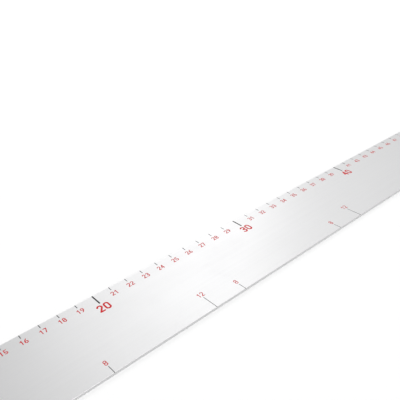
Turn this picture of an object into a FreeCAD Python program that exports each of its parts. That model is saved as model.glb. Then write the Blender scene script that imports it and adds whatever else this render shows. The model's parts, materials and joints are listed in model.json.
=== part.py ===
import FreeCAD, Part
import math
import os

# A flat metal rule, 60 cm long, with its scale along the far edge and centred reference marks along
# the near edge. The marks are cut a little way into the top face and filled with enamel.
# Frame: the origin is under the middle of the blade, +X runs towards the 60 cm end, +Y towards the
# scale edge and +Z up. All lengths are in millimetres.

# Blade
blade_length = 600.0
blade_width = 50.0
blade_thickness = 1.5
corner_radius = 1.5
edge_chamfer = 0.12
hanging_hole_radius = 4.0
hanging_hole_from_end = 12.0

# Depth of the cut marks, and how far the enamel stays below the top face
mark_depth = 0.15
enamel_gap = 0.03
tool_overrun = 0.5

# Scale along the far edge
unit = 10.0
units_in_ten = 10
centimetre_tick = {"length": 2.8, "width": 0.4}
tens_tick = {"length": 7.6, "width": 0.8}
centimetre_text = {"height": 3.2, "stroke": 0.48, "gap": 0.3, "middle_from_edge": 5.8}
tens_text = {"height": 5.5, "stroke": 0.95, "gap": 0.55, "middle_from_edge": 11.3}
last_numeral_from_end = 1.8

# Reference marks along the near edge, as distances either side of the middle of the blade, each
# labelled with the whole distance in centimetres between the pair or between neighbours
short_reference = {"offsets": (40.0, 120.0), "length": 5.0, "width": 0.32, "label": "8"}
long_reference = {"offsets": (60.0,), "length": 10.0, "width": 0.32, "label": "12"}
reference_text = {"height": 3.2, "stroke": 0.42, "gap": 0.35, "above_tick": 0.7}

# Shape of the figures: the width of a figure's centre line as a share of its height, how far two
# touching curves are parted as a share of the stroke, the corners as shares of a figure's width across
# or of its height up, and the turns in degrees where the open curves of 2, 3 and 5 end
figure_width = 0.5
curve_parting = 0.05
figure_corners = {
    "one_flag_across": 0.15,
    "one_flag_up": 0.76,
    "one_stem_across": 0.62,
    "three_bar_across": 0.35,
    "four_stem_across": 0.75,
    "four_arm_up": 0.3,
    "five_tip_across": 0.9,
    "five_neck_across": 0.14,
    "six_tip_across": 0.78,
    "seven_foot_across": 0.35,
}
figure_curve_ends = {
    "two": (165, -35),
    "three_top": (150, -90),
    "three_bottom": (90, -150),
    "five": (140, -140),
}

top = blade_thickness
mark_floor = top - mark_depth
far_edge = blade_width / 2
near_edge = -blade_width / 2
zero_end = -blade_length / 2


def point_at(centre_x, centre_y, radius, degrees):
    turn = math.radians(degrees)
    return (centre_x + radius * math.cos(turn), centre_y + radius * math.sin(turn))


def vector(point):
    return FreeCAD.Vector(point[0], point[1], 0)


def arc(centre_x, centre_y, radius, start, end):
    turns = (start, (start + end) / 2, end)
    return Part.Arc(*[vector(point_at(centre_x, centre_y, radius, turn)) for turn in turns]).toShape()


def lines(*points):
    return [Part.LineSegment(vector(p), vector(q)).toShape() for p, q in zip(points, points[1:])]


def stroke(edges, width):
    """The area that a round cutter of this width leaves along a bent path."""
    return Part.Face(Part.Wire(edges).makeOffset2D(width / 2, 0, False, False))


def straight_stroke(start, end, width):
    """The same along one straight line."""
    length = math.dist(start, end)
    radius = width / 2
    outline = lines((0, -radius), (length, -radius)) + [arc(length, 0, radius, -90, 90)]
    outline += lines((length, radius), (0, radius)) + [arc(0, 0, radius, 90, 270)]
    face = Part.Face(Part.Wire(outline))
    turn = math.degrees(math.atan2(end[1] - start[1], end[0] - start[0]))
    face.rotate(FreeCAD.Vector(), FreeCAD.Vector(0, 0, 1), turn)
    return face.translated(vector(start))


def disc(centre_x, centre_y, radius):
    circle = Part.Circle(vector((centre_x, centre_y)), FreeCAD.Vector(0, 0, 1), radius)
    return Part.Face(Part.Wire(circle.toShape()))


def ring(centre_x, centre_y, radius, width):
    return disc(centre_x, centre_y, radius + width / 2).cut(disc(centre_x, centre_y, radius - width / 2))


def oblong(across, height, grow):
    """A figure-nought outline with half-round ends, grown outwards from its centre line."""
    middle = across / 2
    radius = middle + grow
    edges = [arc(middle, middle, radius, 180, 360)]
    edges += lines((middle + radius, middle), (middle + radius, height - middle))
    edges += [arc(middle, height - middle, radius, 0, 180)]
    edges += lines((middle - radius, height - middle), (middle - radius, middle))
    return Part.Face(Part.Wire(edges))


def figure_strokes(figure, across, height, width):
    """The strokes of one figure, whose centre lines fill a box of across by height."""
    middle = across / 2
    lower = middle
    upper = height / 2 - lower - curve_parting * width
    ends = figure_curve_ends
    corners = figure_corners
    if figure == "0":
        return [oblong(across, height, width / 2).cut(oblong(across, height, -width / 2))]
    if figure == "1":
        flag = (corners["one_flag_across"] * across, corners["one_flag_up"] * height)
        stem_x = corners["one_stem_across"] * across
        return [stroke(lines(flag, (stem_x, height), (stem_x, 0)), width)]
    if figure == "2":
        curve = arc(middle, height - middle, middle, *ends["two"])
        foot = lines(point_at(middle, height - middle, middle, ends["two"][1]), (0, 0), (across, 0))
        return [stroke([curve] + foot, width)]
    if figure == "3":
        waist = height - 2 * upper
        bar = lines((middle, waist), (corners["three_bar_across"] * across, waist))
        return [
            stroke([arc(middle, height - upper, upper, *ends["three_top"])] + bar, width),
            stroke([arc(middle, lower, lower, *ends["three_bottom"])], width),
        ]
    if figure == "4":
        stem_x = corners["four_stem_across"] * across
        arm_y = corners["four_arm_up"] * height
        stem = straight_stroke((stem_x, 0), (stem_x, height), width)
        return [stem, stroke(lines((stem_x, height), (0, arm_y), (across, arm_y)), width)]
    if figure == "5":
        bowl = arc(middle, lower, lower, *ends["five"])
        bowl_start = point_at(middle, lower, lower, ends["five"][0])
        tip = (corners["five_tip_across"] * across, height)
        neck = (corners["five_neck_across"] * across, height)
        return [stroke(lines(tip, neck, bowl_start) + [bowl], width)]
    if figure == "7":
        foot = (corners["seven_foot_across"] * across, 0)
        return [stroke(lines((0, height), (across, height), foot), width)]
    if figure == "8":
        return [ring(middle, height - upper, upper, width), ring(middle, lower, lower, width)]
    # The stem of a 6 is an arc that leaves the side of its bowl and ends above it; a 9 is a 6 turned round
    tip_x = corners["six_tip_across"] * across
    tip_y = height - lower
    radius = (tip_x**2 + tip_y**2) / (2 * tip_x)
    tip_turn = math.degrees(math.atan2(tip_y, tip_x - radius))
    stem = stroke([arc(radius + curve_parting * width, lower, radius, 180, tip_turn)], width)
    six = [ring(middle, lower, lower, width), stem]
    if figure == "6":
        return six
    return [piece.rotated(vector((middle, height / 2)), FreeCAD.Vector(0, 0, 1), 180) for piece in six]


def figure_solid(figure, style, height):
    """One figure as one solid, with its lower left corner at the origin."""
    line_height = style["height"] - style["stroke"]
    strokes = figure_strokes(figure, figure_width * line_height, line_height, style["stroke"])
    prisms = [piece.extrude(FreeCAD.Vector(0, 0, height)) for piece in strokes]
    whole = prisms[0]
    for prism in prisms[1:]:
        whole = whole.fuse(prism)
    half = style["stroke"] / 2
    return whole.removeSplitter().Solids[0].translated(FreeCAD.Vector(half, half, 0))


def figure_pitch(style):
    return figure_width * (style["height"] - style["stroke"]) + style["stroke"] + style["gap"]


def numeral_width(text, style):
    return len(text) * figure_pitch(style) - style["gap"]


def numeral(text, style, centre_x, centre_y, height):
    """The figures of a numeral, side by side about a centre, standing on the floor of the marks."""
    left = centre_x - numeral_width(text, style) / 2
    bottom = centre_y - style["height"] / 2
    solids = []
    for place, figure in enumerate(text):
        corner = FreeCAD.Vector(left + place * figure_pitch(style), bottom, mark_floor)
        solids.append(figure_solid(figure, style, height).translated(corner))
    return solids


def tick(centre_x, edge, size, height):
    """A tick that runs from just outside an edge of the blade inwards, on the floor of the marks."""
    reach = size["length"] + tool_overrun
    low = edge - size["length"] if edge > 0 else edge - tool_overrun
    corner = FreeCAD.Vector(centre_x - size["width"] / 2, low, mark_floor)
    return Part.makeBox(size["width"], reach, height, corner)


def blade_blank():
    """The blade before it is marked: rounded corners, a hanging hole and every rim broken."""
    blank = Part.makeBox(
        blade_length, blade_width, blade_thickness, FreeCAD.Vector(zero_end, near_edge, 0)
    )
    upright = [edge for edge in blank.Edges if edge.BoundBox.ZLength > blade_thickness / 2]
    blank = blank.makeFillet(corner_radius, upright)
    hole_centre = FreeCAD.Vector(-zero_end - hanging_hole_from_end, 0, 0)
    blank = blank.cut(Part.makeCylinder(hanging_hole_radius, blade_thickness, hole_centre))
    rims = [edge for edge in blank.Edges if edge.BoundBox.ZLength < edge_chamfer]
    return blank.makeChamfer(edge_chamfer, rims)


def scale_marks(height):
    """Ticks and numerals of the centimetre scale, as solids of this height, by node name."""
    marks = {"centimetre_ticks": [], "tens_ticks": [], "centimetre_numerals": [], "tens_numerals": []}
    last = round(blade_length / unit)
    for count in range(1, last + 1):
        is_ten = count % units_in_ten == 0
        kind, size, style = ("centimetre", centimetre_tick, centimetre_text)
        if is_ten:
            kind, size, style = ("tens", tens_tick, tens_text)
        centre_x = zero_end + count * unit
        if count < last:
            marks[kind + "_ticks"].append(tick(centre_x, far_edge, size, height))
        else:
            centre_x -= last_numeral_from_end + numeral_width(str(count), style) / 2
        centre_y = far_edge - style["middle_from_edge"]
        marks[kind + "_numerals"] += numeral(str(count), style, centre_x, centre_y, height)
    return marks


def reference_marks(kind, size, height):
    """The ticks and labels of one kind of reference mark, mirrored about the middle of the blade."""
    ticks, labels = [], []
    label_y = near_edge + size["length"] + reference_text["above_tick"] + reference_text["height"] / 2
    for offset in size["offsets"]:
        for centre_x in (-offset, offset):
            ticks.append(tick(centre_x, near_edge, size, height))
            labels += numeral(size["label"], reference_text, centre_x, label_y, height)
    return {kind + "_reference_ticks": ticks, kind + "_reference_labels": labels}


def all_marks(height):
    marks = scale_marks(height)
    marks.update(reference_marks("short", short_reference, height))
    marks.update(reference_marks("long", long_reference, height))
    return marks


def build():
    blank = blade_blank()
    cutters = [solid for solids in all_marks(mark_depth + tool_overrun).values() for solid in solids]
    nodes = {"blade": blank.cut(Part.makeCompound(cutters)).Solids[0]}
    for name, solids in all_marks(mark_depth - enamel_gap).items():
        if name.endswith("ticks"):
            solids = [piece for solid in solids for piece in solid.common(blank).Solids]
        nodes[name] = Part.makeCompound(solids)
    return nodes


os.makedirs("parts", exist_ok=True)
for node, shape in build().items():
    shape.exportStep("parts/" + node + ".step")
    print(node, "solids", len(shape.Solids), "faces", len(shape.Faces), "valid", shape.isValid())
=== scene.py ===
import json
from math import radians

import bmesh
import bpy
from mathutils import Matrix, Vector


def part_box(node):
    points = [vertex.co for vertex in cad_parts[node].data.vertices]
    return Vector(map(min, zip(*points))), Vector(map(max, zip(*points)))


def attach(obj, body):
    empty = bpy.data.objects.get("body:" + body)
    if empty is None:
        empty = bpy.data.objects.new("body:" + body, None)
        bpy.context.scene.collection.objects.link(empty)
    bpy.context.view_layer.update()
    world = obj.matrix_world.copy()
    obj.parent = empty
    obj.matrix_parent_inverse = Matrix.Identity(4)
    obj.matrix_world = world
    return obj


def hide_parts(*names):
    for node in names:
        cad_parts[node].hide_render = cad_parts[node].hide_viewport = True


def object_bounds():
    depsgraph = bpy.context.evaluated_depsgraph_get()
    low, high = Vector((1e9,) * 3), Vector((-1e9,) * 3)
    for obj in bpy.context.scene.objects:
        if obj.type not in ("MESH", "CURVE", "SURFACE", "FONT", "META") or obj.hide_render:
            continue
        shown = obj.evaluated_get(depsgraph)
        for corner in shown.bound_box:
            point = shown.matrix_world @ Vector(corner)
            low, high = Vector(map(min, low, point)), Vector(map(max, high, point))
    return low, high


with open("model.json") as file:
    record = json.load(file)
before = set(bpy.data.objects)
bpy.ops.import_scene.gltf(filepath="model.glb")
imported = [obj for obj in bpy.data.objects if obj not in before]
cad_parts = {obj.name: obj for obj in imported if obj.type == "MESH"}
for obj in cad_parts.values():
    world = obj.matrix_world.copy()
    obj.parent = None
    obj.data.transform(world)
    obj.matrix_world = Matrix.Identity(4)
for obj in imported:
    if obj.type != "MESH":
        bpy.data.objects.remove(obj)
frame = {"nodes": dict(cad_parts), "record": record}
cadLow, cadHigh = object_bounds()
nodes = frame["nodes"]
print("stage: frame loaded,", len(nodes), "nodes")


# helpers for shader nodes

def addNode(tree, kind, links=None, **settings):
    node = tree.nodes.new(kind)
    for name, value in settings.items():
        setattr(node, name, value)
    for socket, source in (links or {}).items():
        if isinstance(source, bpy.types.NodeSocket):
            tree.links.new(source, node.inputs[socket])
        else:
            node.inputs[socket].default_value = source
    return node


def addMath(tree, operation, first, second=0.0):
    return addNode(tree, "ShaderNodeMath", {0: first, 1: second}, operation=operation).outputs[0]


# a straight ramp from the first value to the second, as the source runs over its span
def addRamp(tree, source, span, values=(0.0, 1.0)):
    return addNode(tree, "ShaderNodeMapRange", {
        "Value": source,
        "From Min": span[0],
        "From Max": span[1],
        "To Min": values[0],
        "To Max": values[1],
    }).outputs["Result"]


def addNoise(tree, place, scale, detail):
    links = {"Vector": place, "Scale": scale, "Detail": detail}
    return addNode(tree, "ShaderNodeTexNoise", links).outputs["Fac"]


def mixColours(tree, mask, plain, marked):
    links = {"Factor": mask, "A": plain, "B": marked}
    return addNode(tree, "ShaderNodeMix", links, data_type="RGBA").outputs["Result"]


def mixValues(tree, mask, plain, marked):
    links = {"Factor": mask, "A": plain, "B": marked}
    return addNode(tree, "ShaderNodeMix", links, data_type="FLOAT").outputs["Result"]


def addBump(tree, height, strength, depth):
    links = {"Height": height, "Strength": strength, "Distance": depth}
    return addNode(tree, "ShaderNodeBump", links).outputs["Normal"]


def newGroup(name, inputs, outputs):
    group = bpy.data.node_groups.new(name, "ShaderNodeTree")
    group.interface.new_socket("Vector", in_out="INPUT", socket_type="NodeSocketVector")
    for socketName, value in inputs.items():
        socket = group.interface.new_socket(socketName, in_out="INPUT", socket_type="NodeSocketFloat")
        socket.default_value = value
    for socketName in outputs:
        group.interface.new_socket(socketName, in_out="OUTPUT", socket_type="NodeSocketFloat")
    return group, group.nodes.new("NodeGroupInput").outputs, group.nodes.new("NodeGroupOutput").inputs


# fineness is in features to the metre; the coarse lines' is a share of the fine ones'
grainLook = {
    "inputs": {"Length": 55.0, "Fineness": 8500.0},
    "fineDetail": 3.0,
    "coarseFineness": 0.12,
    "coarseDetail": 2.0,
    "streakSpan": (0.35, 0.65),
}


# fine lines along the rule, left by rolling and rubbing: long on X, thin across it
def makeGrainGroup(look):
    group, given, result = newGroup("lengthwiseGrain", look["inputs"], ["Height", "Streaks"])
    across = given["Fineness"]
    stretch = addNode(group, "ShaderNodeCombineXYZ", {"X": given["Length"], "Y": across, "Z": across})
    links = {0: given["Vector"], 1: stretch.outputs["Vector"]}
    spread = addNode(group, "ShaderNodeVectorMath", links, operation="MULTIPLY").outputs["Vector"]
    fine = addNoise(group, spread, 1.0, look["fineDetail"])
    coarse = addNoise(group, spread, look["coarseFineness"], look["coarseDetail"])
    average = addMath(group, "MULTIPLY", addMath(group, "ADD", fine, coarse), 0.5)
    group.links.new(average, result["Height"])
    group.links.new(addRamp(group, coarse, look["streakSpan"]), result["Streaks"])
    return group


# fineness and density are in features to the metre, the scratches' turn in degrees
handlingLook = {
    "inputs": {"Smudge Fineness": 26.0, "Scratch Density": 46.0, "Scratch Width": 0.012},
    "smudgeDetail": 4.0,
    "smudgeDistortion": 0.6,
    "smudgeSpan": (0.42, 0.68),
    "scratchTurn": 24,
    "scratchStretch": 9.0,
    "bendFineness": 14.0,
    "bendDetail": 1.0,
    "bendShare": 0.012,
    "patchFineness": 60.0,
    "patchDetail": 2.0,
    "patchSpan": (0.52, 0.62),
}


# marks of use: soft hand smudges and a few thin, bent scratches that come and go in patches
def makeHandlingGroup(look):
    group, given, result = newGroup("handlingMarks", look["inputs"], ["Smudges", "Scratches"])
    place = given["Vector"]
    smudge = addNode(group, "ShaderNodeTexNoise", {
        "Vector": place,
        "Scale": given["Smudge Fineness"],
        "Detail": look["smudgeDetail"],
        "Distortion": look["smudgeDistortion"],
    }).outputs["Fac"]
    turned = addNode(group, "ShaderNodeMapping", {
        "Vector": place,
        "Rotation": (0.0, 0.0, radians(look["scratchTurn"])),
        "Scale": (1.0, look["scratchStretch"], 1.0),
    }).outputs["Vector"]
    links = {"Vector": place, "Scale": look["bendFineness"], "Detail": look["bendDetail"]}
    bend = addNode(group, "ShaderNodeTexNoise", links).outputs["Color"]
    links = {"Factor": look["bendShare"], "A": turned, "B": bend}
    bent = addNode(group, "ShaderNodeMix", links, data_type="VECTOR").outputs[1]
    links = {"Vector": bent, "Scale": given["Scratch Density"]}
    cracks = addNode(group, "ShaderNodeTexVoronoi", links, feature="DISTANCE_TO_EDGE")
    thin = addRamp(group, cracks.outputs["Distance"], (0.0, given["Scratch Width"]), (1.0, 0.0))
    patches = addNoise(group, place, look["patchFineness"], look["patchDetail"])
    broken = addMath(group, "MULTIPLY", thin, addRamp(group, patches, look["patchSpan"]))
    group.links.new(addRamp(group, smudge, look["smudgeSpan"]), result["Smudges"])
    group.links.new(broken, result["Scratches"])
    return group


grainGroup = makeGrainGroup(grainLook)
handlingGroup = makeHandlingGroup(handlingLook)
print("stage: shader groups made")


def startMaterial(name, shaderValues):
    material = bpy.data.materials.new(name)
    material.use_nodes = True
    tree = material.node_tree
    shader = tree.nodes["Principled BSDF"].inputs
    for socket, value in shaderValues.items():
        shader[socket].default_value = value
    return material, tree, shader


def useGroup(tree, group, place, values=None):
    links = {"Vector": place}
    links.update(values or {})
    return addNode(tree, "ShaderNodeGroup", links, node_tree=group).outputs


# widths and depths in metres, fineness in features to the metre
satinMetal = {
    "colour": (0.83, 0.83, 0.835, 1.0),
    "streakColour": (0.82, 0.82, 0.825, 1.0),
    "rubbedColour": (0.88, 0.88, 0.88, 1.0),
    # sawn sides and hole wall, darker: partly a duller cut surface, partly painted shade for the dark
    # band along the near edge
    "sawnSideAndShadeColour": (0.66, 0.66, 0.665, 1.0),
    "roughness": 0.34,
    "streakRoughness": 0.015,
    "smudgeRoughness": 0.025,
    "scratchRoughness": 0.1,
    "rubbedRoughness": 0.26,
    "cutEdgeRoughness": 0.5,
    "rubbedWidth": 0.0007,
    "raggedFineness": 420.0,
    "raggedDetail": 4.0,
    "raggedSpan": (0.3, 0.7),
    "rubbedSpan": (0.15, 0.7),
    "cutEdgeFacing": (0.6, 0.3),
    "grainDepth": 0.000012,
    "grainStrength": 0.6,
}


# how near a point is to the outer rim of the blade, made ragged, as hands and drawers rub it
def addRimWear(tree, place, look):
    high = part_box("blade")[1]
    width = look["rubbedWidth"]
    sides = addNode(tree, "ShaderNodeSeparateXYZ", {"Vector": place}).outputs
    acrossRim = addRamp(tree, addMath(tree, "ABSOLUTE", sides["Y"]), (high.y - width, high.y))
    alongRim = addRamp(tree, addMath(tree, "ABSOLUTE", sides["X"]), (high.x - width, high.x))
    near = addMath(tree, "MAXIMUM", acrossRim, alongRim)
    noise = addNoise(tree, place, look["raggedFineness"], look["raggedDetail"])
    ragged = addMath(tree, "MULTIPLY", near, addRamp(tree, noise, look["raggedSpan"]))
    return addRamp(tree, ragged, look["rubbedSpan"])


# the sawn sides and the wall of the hole, as against the two broad faces; their darker colour is
# partly a duller cut surface and partly painted shade
def addSawnSidesAndShade(tree, normal, look):
    facing = addNode(tree, "ShaderNodeSeparateXYZ", {"Vector": normal}).outputs["Z"]
    return addRamp(tree, addMath(tree, "ABSOLUTE", facing), look["cutEdgeFacing"])


def makeSatinMetal(look):
    material, tree, shader = startMaterial("satinMetal", {"Metallic": 1.0})
    texture = addNode(tree, "ShaderNodeTexCoord").outputs
    place = texture["Object"]
    grain = useGroup(tree, grainGroup, place)
    marks = useGroup(tree, handlingGroup, place)
    rubbed = addRimWear(tree, place, look)
    sawnSidesAndShade = addSawnSidesAndShade(tree, texture["Normal"], look)

    colour = mixColours(tree, grain["Streaks"], look["colour"], look["streakColour"])
    colour = mixColours(tree, rubbed, colour, look["rubbedColour"])
    # darkens the sawn sides with painted shade, on top of their duller cut surface
    colour = mixColours(tree, sawnSidesAndShade, colour, look["sawnSideAndShadeColour"])
    tree.links.new(colour, shader["Base Color"])

    streaked = look["roughness"] + look["streakRoughness"]
    rough = addRamp(tree, grain["Streaks"], (0.0, 1.0), (look["roughness"], streaked))
    for mark, change in (("Smudges", "smudgeRoughness"), ("Scratches", "scratchRoughness")):
        rough = addMath(tree, "ADD", rough, addMath(tree, "MULTIPLY", marks[mark], look[change]))
    rough = mixValues(tree, rubbed, rough, look["rubbedRoughness"])
    rough = mixValues(tree, sawnSidesAndShade, rough, look["cutEdgeRoughness"])
    tree.links.new(rough, shader["Roughness"])

    height = addMath(tree, "SUBTRACT", grain["Height"], marks["Scratches"])
    tree.links.new(addBump(tree, height, look["grainStrength"], look["grainDepth"]), shader["Normal"])
    return material


blackEnamel = {
    "colour": (0.012, 0.012, 0.013, 1.0),
    "wornColour": (0.035, 0.034, 0.034, 1.0),
    "rimColour": (0.06, 0.06, 0.06, 1.0),
}
redEnamel = {
    "colour": (0.46, 0.011, 0.015, 1.0),
    "wornColour": (0.52, 0.028, 0.03, 1.0),
    "rimColour": (0.33, 0.009, 0.011, 1.0),
}
enamelSurface = {
    "specular": 0.2,
    "roughness": 0.46,
    "smudgedRoughness": 0.56,
    "marks": {"Smudge Fineness": 340.0, "Scratch Density": 120.0},
    "pigmentFineness": 1500.0,
    "pigmentDetail": 3.0,
    "pigmentDepth": 0.00001,
    "pigmentStrength": 0.4,
    "thinSpan": (0.25, 0.6),
    "wornSpan": (0.35, 0.7),
    "mostWorn": 0.5,
}


# enamel rubbed into the cut marks: slightly uneven pigment, thinner where it climbs the rim
def makeEnamel(name, colours, surface):
    material, tree, shader = startMaterial(name, {"Specular IOR Level": surface["specular"]})
    place = addNode(tree, "ShaderNodeTexCoord").outputs["Object"]
    marks = useGroup(tree, handlingGroup, place, surface["marks"])
    pigment = addNoise(tree, place, surface["pigmentFineness"], surface["pigmentDetail"])
    rim = addNode(tree, "ShaderNodeAttribute", attribute_name="rim").outputs["Fac"]
    thin = addMath(tree, "MULTIPLY", rim, addRamp(tree, pigment, surface["thinSpan"]))
    faded = addRamp(tree, pigment, surface["wornSpan"], (0.0, surface["mostWorn"]))
    worn = addMath(tree, "MAXIMUM", faded, marks["Scratches"])
    colour = mixColours(tree, worn, colours["colour"], colours["wornColour"])
    colour = mixColours(tree, thin, colour, colours["rimColour"])
    tree.links.new(colour, shader["Base Color"])
    roughSpan = (surface["roughness"], surface["smudgedRoughness"])
    tree.links.new(addRamp(tree, marks["Smudges"], (0.0, 1.0), roughSpan), shader["Roughness"])
    bump = addBump(tree, pigment, surface["pigmentStrength"], surface["pigmentDepth"])
    tree.links.new(bump, shader["Normal"])
    return material


finishes = {
    "satin_metal": makeSatinMetal(satinMetal),
    "black_enamel": makeEnamel("blackEnamel", blackEnamel, enamelSurface),
    "red_enamel": makeEnamel("redEnamel", redEnamel, enamelSurface),
}
print("stage: materials made")


def dressBlade():
    for slot in nodes["blade"].material_slots:
        slot.material = finishes["satin_metal"]


# lengths in metres; a face counts as level when its normal's upward share is above levelFacing
enamelFill = {"rimWidth": 0.00007, "dip": 0.000025, "mergeGap": 0.0000005, "levelFacing": 0.99}


# the enamel of one node, sunk to a shallow pool that climbs to its full height at the walls of the cut
def poolEnamel(nodeName, slotName, look):
    shape = bmesh.new()
    shape.from_mesh(nodes[nodeName].data)
    bmesh.ops.remove_doubles(shape, verts=shape.verts, dist=look["mergeGap"])
    rim = shape.verts.layers.float.new("rim")
    for point in shape.verts:
        point[rim] = 1.0
    pool = [face for face in shape.faces if face.normal.z > look["levelFacing"]]
    bmesh.ops.inset_region(
        shape, faces=pool, thickness=look["rimWidth"], depth=-look["dip"],
        use_boundary=True, use_even_offset=True,
    )
    for face in pool:
        for point in face.verts:
            point[rim] = 0.0
    mesh = bpy.data.meshes.new(nodeName + "_pool")
    shape.to_mesh(mesh)
    shape.free()
    mesh.materials.append(finishes[slotName])
    piece = bpy.data.objects.new(nodeName + "_enamel", mesh)
    bpy.context.scene.collection.objects.link(piece)
    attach(piece, "root")
    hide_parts(nodeName)
    return len(mesh.polygons)


def fillMarks():
    for part in frame["record"]["subparts"]:
        if part["node"] != "blade":
            faces = poolEnamel(part["node"], part["material_slot"], enamelFill)
            print("enamel:", part["node"], faces, "faces")


dressBlade()
fillMarks()
print("stage: blade dressed and marks filled")


# the floor lies just under the blade, so that the two never share a plane
floorLook = {"size": 40.0, "gap": 0.00002}
floorPaint = {"Base Color": (0.775, 0.775, 0.775, 1.0), "Roughness": 0.6, "Specular IOR Level": 0.1}


def makeFloor(look, paint):
    shape = bmesh.new()
    bmesh.ops.create_grid(shape, x_segments=2, y_segments=2, size=look["size"] / 2)
    bmesh.ops.translate(shape, verts=shape.verts, vec=(0.0, 0.0, cadLow.z - look["gap"]))
    mesh = bpy.data.meshes.new("floor")
    shape.to_mesh(mesh)
    shape.free()
    mesh.materials.append(startMaterial("paleFloor", paint)[0])
    floor = bpy.data.objects.new("floor", mesh)
    bpy.context.scene.collection.objects.link(floor)


# places and sizes in metres, spreads in degrees; the low back light only gives the soft shadow along
# the near edge, and the metal doesn't mirror it
studio = {
    "world": 0.625,
    "boxes": [
        {"name": "backSoftbox", "place": (0.5, 0.85, 0.67), "size": 0.7, "watts": 0.75},
        {"name": "sideSoftbox", "place": (1.2, 1.0, 1.2), "size": 1.2, "watts": 1.5},
    ],
    "suns": [
        {
            "name": "skylight",
            "place": (-0.04, -0.52, 0.9),
            "spread": 22,
            "strength": 1.95,
            "mirrored": True,
        },
        {
            "name": "lowBackLight",
            "place": (-0.5, 0.7, 0.5),
            "spread": 30,
            "strength": 0.6,
            "mirrored": False,
        },
    ],
}


def addLamp(name, kind, place, **settings):
    light = bpy.data.lights.new(name, kind)
    for setting, value in settings.items():
        setattr(light, setting, value)
    lamp = bpy.data.objects.new(name, light)
    lamp.location = place
    lamp.rotation_euler = Vector(place).to_track_quat("Z", "Y").to_euler()  # shines on the origin
    bpy.context.scene.collection.objects.link(lamp)
    return lamp


def makeStudio(look):
    scene = bpy.context.scene
    scene.view_settings.view_transform = "Standard"
    scene.world = bpy.data.worlds.new("paleStudio")
    scene.world.use_nodes = True
    background = scene.world.node_tree.nodes["Background"]
    background.inputs["Color"].default_value = (1.0, 1.0, 1.0, 1.0)
    background.inputs["Strength"].default_value = look["world"]
    for box in look["boxes"]:
        addLamp(box["name"], "AREA", box["place"], size=box["size"], energy=box["watts"])
    for sun in look["suns"]:
        spread = radians(sun["spread"])
        lamp = addLamp(sun["name"], "SUN", sun["place"], energy=sun["strength"], angle=spread)
        lamp.visible_glossy = sun["mirrored"]


# place in metres, turn in degrees, lens and sensor in millimetres
cameraLook = {
    "place": (-0.2007, -0.1791, 0.1833),
    "turn": (59.79, 2.04, -41.87),
    "lens": 50.26,
    "sensor": 36.0,
    "nearest": 0.005,
}


def makeCamera(look):
    camera = bpy.data.objects.new("camera", bpy.data.cameras.new("camera"))
    bpy.context.scene.collection.objects.link(camera)
    camera.location = look["place"]
    camera.rotation_euler = [radians(angle) for angle in look["turn"]]
    camera.data.lens = look["lens"]
    camera.data.sensor_width = look["sensor"]
    camera.data.clip_start = look["nearest"]
    bpy.context.scene.camera = camera


makeFloor(floorLook, floorPaint)
makeStudio(studio)
makeCamera(cameraLook)
print("stage: floor, studio and camera ready")
